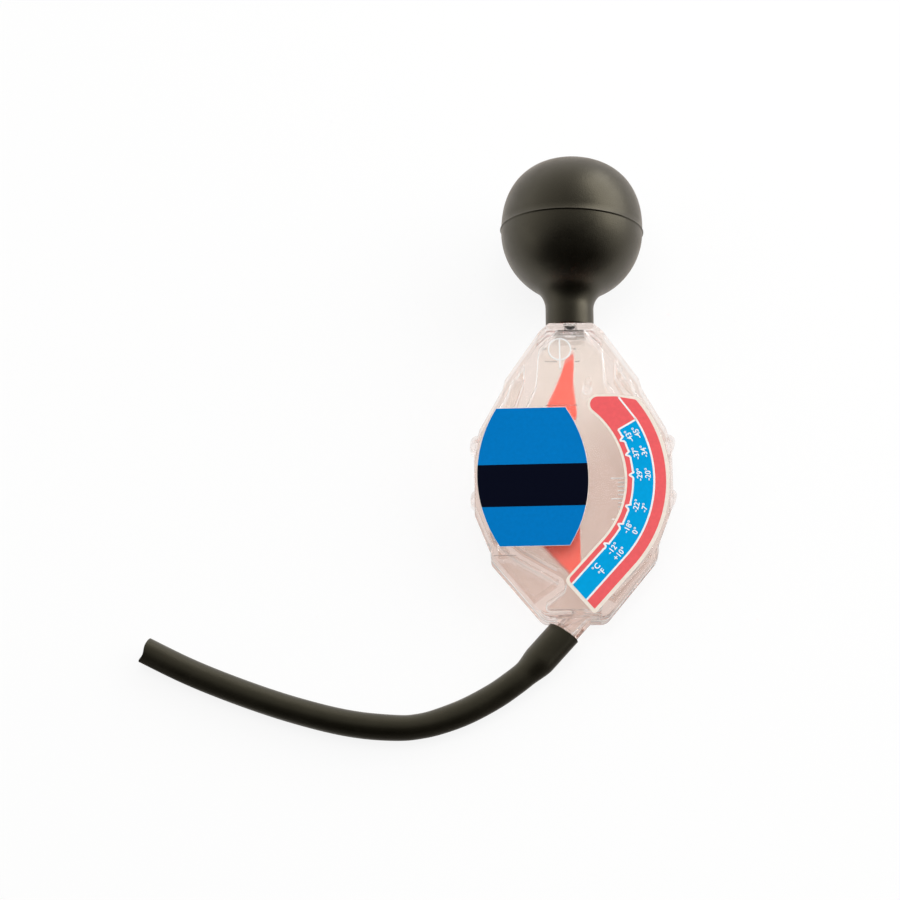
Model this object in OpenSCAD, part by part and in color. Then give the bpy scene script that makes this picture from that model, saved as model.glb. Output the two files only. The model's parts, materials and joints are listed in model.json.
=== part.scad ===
// Antifreeze tester: a squeeze bulb, a clear two-half dial housing and a pick-up hose, in millimetres.
// It lies on its back on the bulb and the foot edge, printed face up, with the bulb toward +Y.
// u, v and w are the tester's own axes from the middle of the dial:
// u to the right, v toward the bulb, w out of the printed face. The halves meet at w = 0.

/* [Show] */

/* [Housing outline] */
// Thickness over both halves
body_depth = 17; // [15:0.5:19]
// Half width at the waist
waist_half = 34.7; // [34:0.1:36]
// Top of the straight waist
waist_top = 11; // [9:0.5:13]
// Bottom of the straight waist
waist_bottom = -9; // [-11:0.5:-7]
// Half width of the flank above the upper lugs
flank_half = 32.9; // [31.5:0.1:33.8]
// Height of the flank corner
flank_level = 18.2; // [16.5:0.1:20]
// Half width just under the shoulder step
step_half = 24.7; // [24.2:0.1:25.4]
// Height of the shoulder step
step_level = 32.8; // [31.5:0.1:33.5]
// Half width of the shoulder corner
shoulder_half = 23.7; // [22.9:0.1:24]
// Height of the shoulder corner
shoulder_level = 36.5; // [35:0.1:38]
// Half width of the hip corner above the foot
hip_half = 29.7; // [29.2:0.1:30.5]
// Height of the hip corner
hip_level = -21.8; // [-22.2:0.1:-20]
// Height of the step under the hip corner
hip_step = 1; // [0.6:0.1:1.6]
// Half width of the cheeks below the hip step
cheek_half = 29.1; // [28.2:0.1:29.3]
// Height of the cheek corner
cheek_level = -27.1; // [-28.5:0.1:-26]
// Half width of the foot edge
foot_half = 11; // [10:0.1:12]
// Drop of the foot edge below the dial's middle
foot_drop = 49; // [47.5:0.5:50.5]
// Half width of the crest corner under the flat top
crest_half = 11.4; // [10.4:0.1:12.4]
// Drop of the crest corner below the flat top
crest_drop = 3.2; // [2.6:0.1:4]
// Half width of the flat top that carries the bulb
top_half = 7.9; // [7.4:0.1:8.6]
// Height of the flat top
top_level = 57.4; // [57:0.1:58.4]
// Radius of the side lugs
lug_r = 2.8; // [2.2:0.1:3.2]
// How far the lugs stand out of the waist
lug_out = 1.5; // [0.8:0.1:1.8]
// Height of the upper lugs
lug_top = 14; // [13:0.1:15]
// Height of the lower lugs
lug_bottom = -5.6; // [-6.5:0.1:-4.5]
// Depth of a lug on each half
lug_depth = 5; // [3:0.5:7]

/* [Housing walls] */
// Face thickness
face_wall = 2.2; // [1.6:0.1:2.8]
// Outer skirt thickness
skirt_wall = 2; // [1.6:0.1:2.6]
// Chamber wall thickness
chamber_wall = 3.6; // [2.4:0.1:4]
// Radius of the chamber round the pointer's pivot, on the scale side
sweep_r = 43.2; // [42.6:0.1:43.6]
// Radius of the chamber on the other side, from the dial's middle
bowl_r = 30.4; // [30:0.1:31]
// Half width of the funnel under the bulb
funnel_half = 12; // [10:0.2:12.6]
// Height of the funnel's lower bend
funnel_low = 37.4; // [36:0.1:38.5]
// Drop of the funnel's shoulder below its roof
funnel_drop = 6.8; // [6:0.1:8]
// Half width of the funnel's roof
roof_half = 5; // [4.2:0.1:6]
// Thickness of the roof under the flat top
roof_wall = 2.2; // [1.8:0.1:2.6]
// Sideways place of the sloping wall's nose
nose_u = -3.3; // [-4:0.1:-2.8]
// Rise of the nose above the foot edge
nose_rise = 16.1; // [15.4:0.1:16.6]
// Blunt end of the nose
nose_tall = 5.6; // [5.2:0.1:6]
// Rounding of the nose
nose_r = 4.6; // [4:0.1:4.7]
// Thickness of the foot under the outlet
foot_wall = 2.5; // [2:0.1:3]
// Height of the outlet where it meets the boss
outlet_tall = 2.7; // [2.2:0.1:3.2]
// Length of the ribs across the lower pockets
rib_long = 12; // [10:0.5:14]
// Thickness of the ribs across the lower pockets
rib_wall = 1.6; // [1:0.1:2.4]
// Height of the pocket ribs
rib_level = -26; // [-28:0.5:-24.5]
// Radius of the locating pins
locator_r = 1.1; // [0.8:0.1:1.4]
// Height of the upper locating pins
locator_level = 38.7; // [37.5:0.1:40]
// Half spacing of the upper locating pins
locator_half = 18.4; // [17.9:0.1:18.8]

/* [Spigot] */
// Radius of the spigot in the bulb's neck
spigot_r = 6.2; // [5.4:0.1:6.6]
// Length of the spigot above the flat top
spigot_long = 13.5; // [10:0.5:15]
// Radius of the spigot's bore
spigot_bore_r = 3.6; // [2.4:0.1:4.2]

/* [Nipple] */
// Lean of the nipple below level, to the left
nipple_lean = 47.5; // [44:0.5:51]
// Sideways place of the hose mouth
mouth_u = -4.2; // [-5:0.1:-3]
// Drop of the hose mouth below the foot edge
mouth_below = 4.3; // [3.8:0.1:5.5]
// How far the boss reaches back into the foot
boss_back = 9; // [8:0.5:10]
// Radius of the boss behind the hose mouth
boss_r = 5.6; // [5.2:0.1:6]
// Radius of the nipple inside the hose
nipple_r = 4.2; // [3.8:0.1:4.4]
// Length of the nipple beyond the boss
nipple_long = 13; // [10:0.5:15]
// Radius of the nipple's bore
nipple_bore_r = 2.5; // [1.8:0.1:3]

/* [Bulb] */
// Radius of the ball
bulb_r = 25.2; // [24:0.1:27]
// Height of the ball's middle
bulb_level = 94.4; // [93:0.1:96]
// Height of the crown above the ball's middle
crown_tall = 26.9; // [25.5:0.1:28]
// How square the crown's shoulders are; 2 gives an ellipse
crown_power = 2.25; // [2:0.05:2.5]
// Rubber thickness of the ball
bulb_wall = 2.7; // [2:0.1:3.5]
// Radius of the neck
neck_r = 8.6; // [8.2:0.1:9.2]
// Fillet between neck and ball
neck_fillet = 8.8; // [7:0.1:10]
// Height of the mould line round the ball
flash_tall = 0.4; // [0.2:0.05:0.5]
// Width of the mould line
flash_wide = 0.9; // [0.5:0.1:1.6]
// Room between spigot and neck bore, and under the neck's end
neck_gap = 0.05; // [0.02:0.01:0.1]

/* [Pointer] */
// Sideways place of the pivot
pivot_u = -14; // [-14.4:0.1:-13.6]
// Direction of the pointer at rest
pointer_rest = -66.8; // [-68:0.1:-60]
// Radius of the pointer's round float
float_r = 14; // [13:0.1:15.4]
// How far the float and tip sit to one side of the pin
float_shift = 1.1; // [0.4:0.1:1.6]
// Reach of the pointer's tip from the pivot
pointer_reach = 41.4; // [40.9:0.1:41.6]
// Rounding of the tip
tip_r = 0.8; // [0.5:0.1:1]
// Pointer plate thickness
pointer_thick = 2.4; // [1.6:0.1:3]
// Radius of the hub
hub_r = 3.4; // [2.4:0.1:4.5]
// Length of the hub
hub_long = 5; // [3.4:0.1:6]
// End play of the hub between its bosses
hub_play = 0.2; // [0.1:0.05:0.4]
// Radius of the pivot pin
pin_r = 1; // [0.8:0.05:1.25]
// Room between pin and hub
pin_gap = 0.05; // [0.02:0.01:0.1]
// Radius of the pin's bosses in the halves
pin_boss_r = 3; // [2.2:0.1:4]
// Depth of the pin's seat in each boss
pin_seat = 2.6; // [1.5:0.1:3]
// Radius of the balance weight
weight_r = 2.8; // [2:0.1:3.4]
// Distance of the balance weight from the pivot
weight_reach = 10; // [8:0.1:11]
// Thickness of the balance weight
weight_thick = 3.6; // [2.6:0.1:4]
// Sideways place of the stop post
stop_u = 6; // [5.4:0.1:6.6]
// Height of the stop post
stop_level = 36.5; // [35.9:0.1:37.1]
// Radius of the stop post
stop_r = 1.2; // [1:0.05:1.4]

/* [Level marker] */
// Thickness of the red marker plate
marker_thick = 1.2; // [0.8:0.1:1.6]
// Height of the marker's point
marker_top = 50.2; // [49:0.1:51]
// Height of the marker's foot, under the main label
marker_foot = 22; // [20:0.5:24]
// Half width of the marker at its shoulder
marker_half = 5; // [4:0.1:5.6]
// Rise of the marker's slanted tip
marker_slant = 2.6; // [2:0.1:3.2]
// Width of the marker's slanted tip
marker_tip = 2.4; // [1.8:0.1:3]
// Rounding of the marker's shoulder
marker_round = 2; // [1:0.1:2.4]
// Height of the marker's shoulder above the level line
marker_rise = 3.4; // [2.8:0.1:4]
// Sideways place of the marker's straight edge
marker_edge = 1.4; // [1:0.1:2]
// Sideways place of the moulded level line's middle
level_line_u = -3.6; // [-4.4:0.1:-2.8]
// Height of the moulded level line
level_line = 27.3; // [26.5:0.1:28.5]
// Length of the moulded level line
level_line_long = 11.4; // [10:0.1:13]
// Radius of the moulded ring near the top
ring_r = 4.2; // [3.6:0.1:4.6]
// Height of the moulded ring
ring_level = 47.4; // [46.5:0.1:47.8]
// Sideways place of the moulded ring
ring_u = -4.3; // [-5:0.1:-3.6]
// Width of moulded marks
mark_wide = 0.5; // [0.3:0.1:0.8]
// Height of moulded marks
mark_tall = 0.3; // [0.2:0.05:0.5]
// Right end of the moulded ruler beside the scale
ruler_u = 17.9; // [17:0.1:18.5]
// Height of the ruler's top tick
ruler_top = 0.5; // [0:0.1:1]
// Step of the ruler
ruler_step = 1.48; // [1.4:0.02:1.6]
// Length of its long ticks, at every fifth step
tick_long = 4.9; // [4:0.1:5.5]
// Length of its short ticks
tick_short = 2.5; // [2:0.1:3]

/* [Labels] */
// Label film thickness
film = 0.2; // [0.1:0.05:0.4]
// Sideways place of the main label's middle
main_u = -14.4; // [-14.8:0.1:-14]
// Height of the main label's middle
main_level = 0.7; // [0:0.1:1.2]
// Half height of the main label
main_half_tall = 25.1; // [24:0.1:26]
// Half width of the main label's middle
main_half_wide = 19.4; // [18:0.1:19.6]
// Half width of the main label's ends
main_half_end = 12; // [10:0.1:13.5]
// Inner radius of the scale label, from the pivot
scale_in_r = 31.7; // [30.5:0.1:32]
// Outer radius of the scale label, from the pivot
scale_out_r = 47; // [46.6:0.1:47.4]
// Where the scale's arc turns into its straight lower run
scale_turn = -41; // [-44:0.5:-38]
// Height of the scale label's top edge
scale_top = 30.7; // [29.5:0.1:31.5]
// Rounding of the scale label's top inner corner
scale_round = 4.3; // [3.6:0.1:5]
// Rounding of its other corners
scale_corner = 1.4; // [0.8:0.1:2]
// Length of the straight lower run
scale_run = 22.2; // [20:0.1:22.6]

/* [Hose] */
// Outer radius of the hose
hose_r = 4.6; // [4.2:0.1:5]
// Bore radius of the hose
hose_bore_r = 3.1; // [2.5:0.1:3.4]
// Outer radius where it is stretched over the nipple
cuff_r = 5.7; // [5.5:0.1:6.2]
// Room between nipple and hose
cuff_gap = 0.05; // [0.02:0.01:0.1]
// Sides of the swept tube
hose_sides = 12; // [8:1:16]

/* [Hidden] */
$fn = 64;
half = body_depth / 2;
inner_w = half - face_wall;
pivot = [pivot_u, 0];
past = 20;
big = 200;

// How the tester lies: the ball's mould line and the rear edge of the foot both touch the floor.
lie_tilt = atan((bulb_r + flash_tall - half) / (bulb_level + foot_drop));
lie_z = foot_drop * sin(lie_tilt) + half * cos(lie_tilt);
nipple_dir = [-cos(nipple_lean), -sin(nipple_lean)];
mouth = [mouth_u, -foot_drop - mouth_below];
nipple_end_v = mouth[1] + nipple_dir[1] * nipple_long;
nipple_end_reach = nipple_r * norm([nipple_dir[0] * cos(lie_tilt), sin(lie_tilt)]);
low_y = nipple_end_v * cos(lie_tilt) - nipple_end_reach;
crown_dual = crown_power / (crown_power - 1);
crown_up = pow(crown_tall * cos(lie_tilt), crown_dual);
crown_aside = pow(bulb_r * sin(lie_tilt), crown_dual);
crown_reach = pow(crown_up + crown_aside, 1 / crown_dual);
high_y = bulb_level * cos(lie_tilt) + crown_reach;
lie_y = -(low_y + high_y) / 2;

// The hose from its mouth: x and y along the floor, and its share of the mouth's height.
hose_route = [
    [0, 0, 1], [-4.6, -4.985, 0.821], [-9.2, -9.97, 0.643], [-13.2, -13.8, 0.5], [-17.7, -17.3, 0.36],
    [-24.5, -21.9, 0.17], [-34.1, -27, 0.04], [-43.6, -30.6, 0], [-50.6, -32.3, 0], [-57.6, -32.8, 0],
    [-70, -31.8, 0], [-82.4, -29.3, 0], [-98.6, -24.5, 0], [-115.4, -18.3, 0], [-131, -11.6, 0],
    [-146, -3.9, 0],
];
// Share of the cuff's stretch at each of those points.
hose_stretch = [1, 1, 1, 0.1, 0, 0, 0, 0, 0, 0, 0, 0, 0, 0, 0, 0];

function unit(p) = p / norm(p);
function mirrored(points) =
    [for (i = [len(points) - 1 : -1 : 0]) [-points[i][0], points[i][1], points[i][2]]];
function flat(lists) = [for (l = lists) for (p = l) p];
function arc(c, r, from, to, n) =
    [for (i = [0 : n]) c + r * [cos(from + (to - from) * i / n), sin(from + (to - from) * i / n)]];

// A corner b of a path, rounded with radius r in n steps.
function corner(a, b, c, r, n) =
    let (d1 = unit(a - b), d2 = unit(c - b))
    let (open = acos(d1 * d2) / 2, mid = b + unit(d1 + d2) * r / sin(open))
    let (p1 = b + d1 * r / tan(open) - mid, p2 = b + d2 * r / tan(open) - mid)
    let (a1 = atan2(p1[1], p1[0]), swing = atan2(p2[1], p2[0]) - a1)
    let (turn = swing > 180 ? swing - 360 : swing < -180 ? swing + 360 : swing)
    arc(mid, r, a1, a1 + turn, n);

function xy(p) = [p[0], p[1]];

// Points [x, y, radius] as a path with every corner rounded.
function rounded(points, n = 5) = flat([
    for (i = [0 : len(points) - 1])
    let (a = points[(i + len(points) - 1) % len(points)], b = points[i], c = points[(i + 1) % len(points)])
    b[2] > 0 ? corner(xy(a), xy(b), xy(c), b[2], n) : [xy(b)]
]);

// An anticlockwise path of [x, y, radius] moved inward by d.
// Its hollow corners widen as the others tighten.
function inset(points, d) = [
    for (i = [0 : len(points) - 1])
    let (a = points[(i + len(points) - 1) % len(points)], b = points[i], c = points[(i + 1) % len(points)])
    let (e1 = unit(xy(b) - xy(a)), e2 = unit(xy(c) - xy(b)))
    let (n1 = [-e1[1], e1[0]], n2 = [-e2[1], e2[0]])
    let (p = xy(b) + d * (n1 + n2) / (1 + n1 * n2), hollow = e1[0] * e2[1] < e1[1] * e2[0])
    [p[0], p[1], b[2] > 0 ? max(b[2] + (hollow ? d : -d), 0.3) : 0]
];

side_path = [
    [foot_half, -foot_drop, 4], [cheek_half, cheek_level, 3], [cheek_half, hip_level - hip_step, 0.4],
    [hip_half, hip_level, 0.6], [waist_half, waist_bottom, 4], [waist_half, waist_top, 3],
    [flank_half, flank_level, 4], [step_half, step_level, 0.8], [shoulder_half, shoulder_level, 0.8],
    [crest_half, top_level - crest_drop, 3], [top_half, top_level, 1.6],
];
outline = concat(side_path, mirrored(side_path));

// The inner corners of an open run, each with its own radius.
function rounded_run(points, radii) = flat([
    for (i = [1 : len(points) - 2]) corner(points[i - 1], points[i], points[i + 1], radii[i - 1], 4)
]);
// A line through a and b moved to its right by d, and the point where two lines meet.
function beside(a, b, d) = let (e = unit(b - a), n = d * [e[1], -e[0]]) [a + n, b + n];
function meet(l, m) =
    let (e = l[1] - l[0], f = m[1] - m[0], g = m[0] - l[0])
    l[0] + e * (g[0] * f[1] - g[1] * f[0]) / (e[0] * f[1] - e[1] * f[0]);

// The wet chamber: scale-side sweep, funnel, bowl, sloping wall with its nose, and the outlet.
sweep_from = -58;
sweep_to = 46;
bowl_from = 118;
bowl_to = 234;
bowl_end = bowl_r * [cos(bowl_to), sin(bowl_to)];
nose_top = [nose_u, nose_rise - foot_drop];
nose_low = nose_top - [0, nose_tall];
outlet_floor = foot_wall - foot_drop;
outlet_in = [0.4 - foot_half, outlet_floor + outlet_tall];
roof_level = top_level - roof_wall;
funnel_high = roof_level - funnel_drop;
chamber = flat([
    arc(pivot, sweep_r, sweep_from, sweep_to, 26),
    rounded_run([
        pivot + sweep_r * [cos(sweep_to), sin(sweep_to)],
        [funnel_half, funnel_low], [funnel_half - 0.4, funnel_high],
        [roof_half, roof_level], [-roof_half, roof_level],
        [0.4 - funnel_half, funnel_high], [-funnel_half - 1, funnel_low - 3.4],
        bowl_r * [cos(bowl_from), sin(bowl_from)],
    ], [4, 4, 1.5, 1.5, 4, 5]),
    arc([0, 0], bowl_r, bowl_from, bowl_to, 26),
    rounded_run([
        bowl_end, nose_top, nose_low, outlet_in,
        [1 - foot_half, outlet_floor], [foot_half - 1.6, outlet_floor],
        pivot + sweep_r * [cos(sweep_from), sin(sweep_from)],
    ], [nose_r, nose_r, 1.6, 0.8, 2]),
]);
// The far side of the chamber's wall; it runs past the outline where wall and skirt are one.
wall_half = funnel_half + chamber_wall;
nose_root = meet(beside(bowl_end, nose_top, chamber_wall), beside(nose_low, outlet_in, chamber_wall));
wall_exit = nose_root + past * unit(outlet_in - nose_low);
wall_path = flat([
    arc(pivot, sweep_r + chamber_wall, sweep_from, sweep_to, 26),
    [[wall_half, funnel_low + 1.2], [wall_half, top_level + past]],
    [[-wall_half, top_level + past], [-wall_half - 1, funnel_low - 0.4]],
    arc([0, 0], bowl_r + chamber_wall, bowl_from + 8, bowl_to, 26),
    [nose_root, wall_exit, [wall_exit[0], -foot_drop - past]],
    [[foot_half + chamber_wall, -foot_drop - past], [foot_half + chamber_wall, outlet_floor + 4.5]],
]);

module lay() translate([0, lie_y, lie_z]) rotate([lie_tilt, 0, 0]) children();
module slab(points, from, to) translate([0, 0, from]) linear_extrude(to - from) polygon(points);
module front_side() translate([-big / 2, -big / 2, 0]) cube([big, big, big / 2]);
module along_v() rotate([-90, 0, 0]) children();
module along_nipple(from) {
    translate([mouth[0], mouth[1], 0]) rotate([0, 0, 180 + nipple_lean]) rotate([0, 90, 0])
        translate([0, 0, from]) children();
}

// Spigot at the top, boss and nipple at the foot, as whole round pieces.
module round_ends() {
    along_v() translate([0, 0, top_level - 1]) cylinder(r = spigot_r, h = 1 + spigot_long);
    along_nipple(-boss_back) cylinder(r = boss_r, h = boss_back);
    along_nipple(-boss_back) cylinder(r = nipple_r, h = boss_back + nipple_long);
}
module round_bores() {
    along_v() translate([0, 0, roof_level - 1]) cylinder(r = spigot_bore_r, h = past + spigot_long);
    along_nipple(-boss_back - 1) cylinder(r = nipple_bore_r, h = boss_back + nipple_long + 2);
}

module lugs(r, from, to) {
    for (side = [-1, 1], v = [lug_top, lug_bottom])
        translate([side * (waist_half + lug_out - lug_r), v, from]) cylinder(r = r, h = to - from);
}
module locators(r, from, to) {
    for (side = [-1, 1])
        translate([side * locator_half, locator_level, from]) cylinder(r = r, h = to - from);
}

// Ribs across the lower pockets, from the chamber wall into the skirt.
module ribs() {
    for (side = [-1, 1])
        translate([side * (cheek_half - rib_long / 2 + 0.5), rib_level, half / 2])
            cube([rib_long, rib_wall, 2 * half], center = true);
}

// What stands in the chamber of either half: the pivot pin's boss.
module pin_boss() {
    translate([pivot[0], pivot[1], hub_long / 2 + hub_play]) cylinder(r = pin_boss_r, h = inner_w);
}
// Marks that stand up from the front half's inner face: a ring, its plumb line, a level line and a ruler.
module marks() {
    low = inner_w - mark_tall;
    translate([ring_u, ring_level, low]) difference() {
        cylinder(r = ring_r, h = 1);
        translate([0, 0, -1]) cylinder(r = ring_r - mark_wide, h = 3);
    }
    translate([ring_u - mark_wide / 2, ring_level - 2.2 * ring_r, low]) cube([mark_wide, 3 * ring_r, 1]);
    translate([level_line_u - level_line_long / 2, level_line - mark_wide / 2, low])
        cube([level_line_long, mark_wide, 1]);
    for (i = [0 : 10]) {
        long = i % 5 == 0 ? tick_long : tick_short;
        translate([ruler_u - long, ruler_top - ruler_step * i - mark_wide / 4, inner_w - mark_tall / 2])
            cube([long, mark_wide / 2, 1]);
    }
}

// One half as seen from its own side, above w = 0: the chamber and the dry pockets are carved out of it.
module shell_half(marked) {
    difference() {
        union() {
            slab(rounded(outline), 0, half);
            lugs(lug_r, 0, lug_depth);
            intersection() {
                round_ends();
                front_side();
            }
        }
        difference() {
            slab(chamber, -1, inner_w);
            pin_boss();
            if (marked) marks();
        }
        difference() {
            slab(rounded(inset(outline, skirt_wall)), -1, inner_w);
            slab(wall_path, -2, half);
            ribs();
            locators(2 * locator_r, -2, half);
            lugs(2 * locator_r, -2, half);
        }
        round_bores();
        translate([pivot[0], pivot[1], -1]) cylinder(r = pin_r, h = 1 + hub_long / 2 + hub_play + pin_seat);
    }
}

// The two halves, moulded in clear plastic and welded round the chamber wall and the skirt.
module front_shell() {
    color([0.9, 0.87, 0.84, 0.35]) lay() difference() {
        shell_half(true);
        lugs(locator_r + 0.1, -1, 3.1);
        locators(locator_r + 0.1, -1, 3.1);
    }
}
module rear_shell() {
    color([0.9, 0.87, 0.84, 0.35]) lay() {
        mirror([0, 0, 1]) shell_half(false);
        lugs(locator_r, -2, 3);
        locators(locator_r, -2, 3);
        translate([stop_u, stop_level, -inner_w - 0.5]) cylinder(r = stop_r, h = 2 * inner_w + 0.4);
    }
}

// The squarish crown of the ball, from its middle or a little above up to the top.
function crown(r, tall, from, n) = [
    for (i = [0 : n])
    let (s = sin(from + (90 - from) * i / n))
    [r * pow(1 - pow(s, crown_power), 1 / crown_power), bulb_level + tall * s]
];
function backward(points) = [for (i = [len(points) - 1 : -1 : 0]) points[i]];

// The hollow rubber bulb; its neck is pushed over the spigot on to the flat top.
module bulb() {
    out_rise = sqrt(pow(bulb_r + neck_fillet, 2) - pow(neck_r + neck_fillet, 2));
    out_turn = atan2(out_rise, neck_r + neck_fillet);
    cavity_r = bulb_r - bulb_wall;
    bore_r = spigot_r + neck_gap;
    mouth_v = top_level + neck_gap;
    middle = [0, bulb_level];
    flash_turn = asin(flash_wide / 2 / bulb_r);
    profile = flat([
        [[bore_r, mouth_v], [neck_r, mouth_v]],
        arc([neck_r + neck_fillet, bulb_level - out_rise], neck_fillet, 180, 180 - out_turn, 8),
        arc(middle, bulb_r, -out_turn, -flash_turn, 14),
        [[bulb_r + flash_tall, bulb_level]],
        crown(bulb_r, crown_tall, flash_turn, 16),
        backward(crown(cavity_r, crown_tall - bulb_wall, 1, 14)),
        arc(middle, cavity_r, -1, -acos(bore_r / cavity_r), 12),
    ]);
    color([0.12, 0.12, 0.1]) lay() along_v() rotate_extrude() polygon(profile);
}

module on_pivot() lay() translate([pivot[0], pivot[1], 0]) rotate([0, 0, pointer_rest]) children();

// The red pointer turns on the pin: a round float drawn out to a tip on straight tangents.
module pointer() {
    taper = asin((float_r - tip_r) / (pointer_reach - tip_r));
    cheek = [cos(90 - taper), sin(90 - taper)];
    tip = [pointer_reach - tip_r, 0];
    color([0.93, 0.32, 0.27]) on_pivot() difference() {
        union() {
            translate([0, float_shift, -pointer_thick / 2]) {
                cylinder(r = float_r, h = pointer_thick);
                translate(tip) cylinder(r = tip_r, h = pointer_thick);
                linear_extrude(pointer_thick) polygon([
                    float_r * cheek, tip + tip_r * cheek,
                    tip + tip_r * [cheek[0], -cheek[1]], float_r * [cheek[0], -cheek[1]],
                ]);
            }
            translate([0, 0, -hub_long / 2]) cylinder(r = hub_r, h = hub_long);
        }
        translate([0, 0, -hub_long]) cylinder(r = pin_r + pin_gap, h = 2 * hub_long);
        translate([-weight_reach, 0, -hub_long]) cylinder(r = weight_r, h = 2 * hub_long);
    }
}
module balance_weight() {
    color([0.75, 0.6, 0.3]) on_pivot()
        translate([-weight_reach, 0, -weight_thick / 2]) cylinder(r = weight_r, h = weight_thick);
}
module pivot_pin() {
    long = hub_long + 2 * hub_play + 2 * pin_seat;
    color([0.7, 0.7, 0.7]) lay() translate([pivot[0], pivot[1], -long / 2]) cylinder(r = pin_r, h = long);
}

// The fixed red marker behind the level line, on the rear half's inner face.
module level_marker() {
    shape = rounded([
        [marker_edge, marker_foot, 0], [marker_edge, marker_top, tip_r / 2],
        [marker_edge - marker_tip, marker_top - marker_slant, 0],
        [marker_edge - 2 * marker_half + tip_r / 2, level_line + marker_rise, marker_round],
        [marker_edge - 2 * marker_half, marker_foot, 0],
    ]);
    color([0.93, 0.32, 0.27]) lay() slab(shape, -inner_w, marker_thick - inner_w);
}

// Printed film labels on the flat front face.
module main_label() {
    bow = main_half_wide - main_half_end;
    bow_r = (pow(main_half_tall, 2) + pow(bow, 2)) / (2 * bow);
    sweep = asin(main_half_tall / bow_r);
    right_mid = [main_u + main_half_wide - bow_r, main_level];
    left_mid = [main_u + bow_r - main_half_wide, main_level];
    shape = concat(
        arc(right_mid, bow_r, -sweep, sweep, 16),
        arc(left_mid, bow_r, 180 - sweep, 180 + sweep, 16)
    );
    color([0, 0.45, 0.75]) lay() slab(shape, half, half + film);
}
module scale_label() {
    away = [cos(scale_turn - 90), sin(scale_turn - 90)];
    out_turn = [cos(scale_turn), sin(scale_turn)];
    in_end = pivot + scale_in_r * out_turn + scale_run * away;
    out_end = pivot + scale_out_r * out_turn + scale_run * away;
    top_turn = asin((scale_top - scale_corner) / scale_out_r);
    top_out = pivot + [sqrt(pow(scale_out_r, 2) - pow(scale_top, 2)), scale_top];
    // The top inner corner is an arc that touches the top edge and the inner arc.
    round_level = scale_top - scale_round;
    round_turn = asin(round_level / (scale_in_r + scale_round));
    round_mid = pivot + (scale_in_r + scale_round) * [cos(round_turn), sin(round_turn)];
    shape = flat([
        arc(pivot, scale_out_r, scale_turn, top_turn - 2, 20),
        corner(
            pivot + scale_out_r * [cos(top_turn - 2), sin(top_turn - 2)],
            top_out, round_mid + [0, scale_round], scale_corner, 4
        ),
        arc(round_mid, scale_round, 90, 180 + round_turn, 10),
        arc(pivot, scale_in_r, round_turn - 1, scale_turn, 20),
        corner(pivot + scale_in_r * out_turn, in_end, out_end, 1.5 * scale_corner, 5),
        corner(in_end, out_end, pivot + scale_out_r * out_turn, scale_corner, 4),
    ]);
    color([0.95, 0.35, 0.36]) lay() slab(shape, half, half + film);
}

// The rubber pick-up hose, stretched over the nipple and lying on the floor.
module hose() {
    rest_z = hose_r + 0.05;
    mouth_z = lie_z + mouth[1] * sin(lie_tilt);
    start = [mouth[0], mouth[1] * cos(lie_tilt) + lie_y];
    path = [for (p = hose_route) [start[0] + p[0], start[1] + p[1], rest_z + (mouth_z - rest_z) * p[2]]];
    last = len(path) - 1;
    function ring(i, r) =
        let (t = unit(path[min(i + 1, last)] - path[max(i - 1, 0)]), side = unit(cross(t, [0, 0, 1])))
        let (over = cross(side, t))
        [for (k = [0 : hose_sides - 1])
            let (turn = 360 * k / hose_sides) path[i] + r * (side * cos(turn) + over * sin(turn))];
    // The flats of the tube, not its corners, clear the nipple.
    cuff_bore_r = (nipple_r + cuff_gap) / cos(180 / hose_sides);
    outer = [for (i = [0 : last]) ring(i, hose_r + (cuff_r - hose_r) * hose_stretch[i])];
    inner = [for (i = [0 : last]) ring(i, hose_bore_r + (cuff_bore_r - hose_bore_r) * hose_stretch[i])];
    n = hose_sides;
    shift = n * (last + 1);
    faces = flat([
        for (i = [0 : last - 1]) flat([
            for (k = [0 : n - 1])
            let (a = i * n + k, b = i * n + (k + 1) % n)
            [[a, b, b + n, a + n], [shift + a, shift + a + n, shift + b + n, shift + b]]
        ])
    ]);
    caps = flat([
        for (k = [0 : n - 1])
        let (j = (k + 1) % n, e = last * n)
        [[k, shift + k, shift + j, j], [e + k, e + j, shift + e + j, shift + e + k]]
    ]);
    color([0.1, 0.1, 0.1])
        polyhedron(points = flat(concat(outer, inner)), faces = concat(faces, caps), convexity = 10);
}

front_shell();
rear_shell();
bulb();
pointer();
balance_weight();
pivot_pin();
level_marker();
main_label();
scale_label();
hose();
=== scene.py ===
"""The look of an antifreeze tester: clear dial housing, printed labels, red pointer, rubber bulb and hose."""
import json
import math

import bmesh
import bpy
from mathutils import Matrix, Vector
from mathutils.bvhtree import BVHTree


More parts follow.
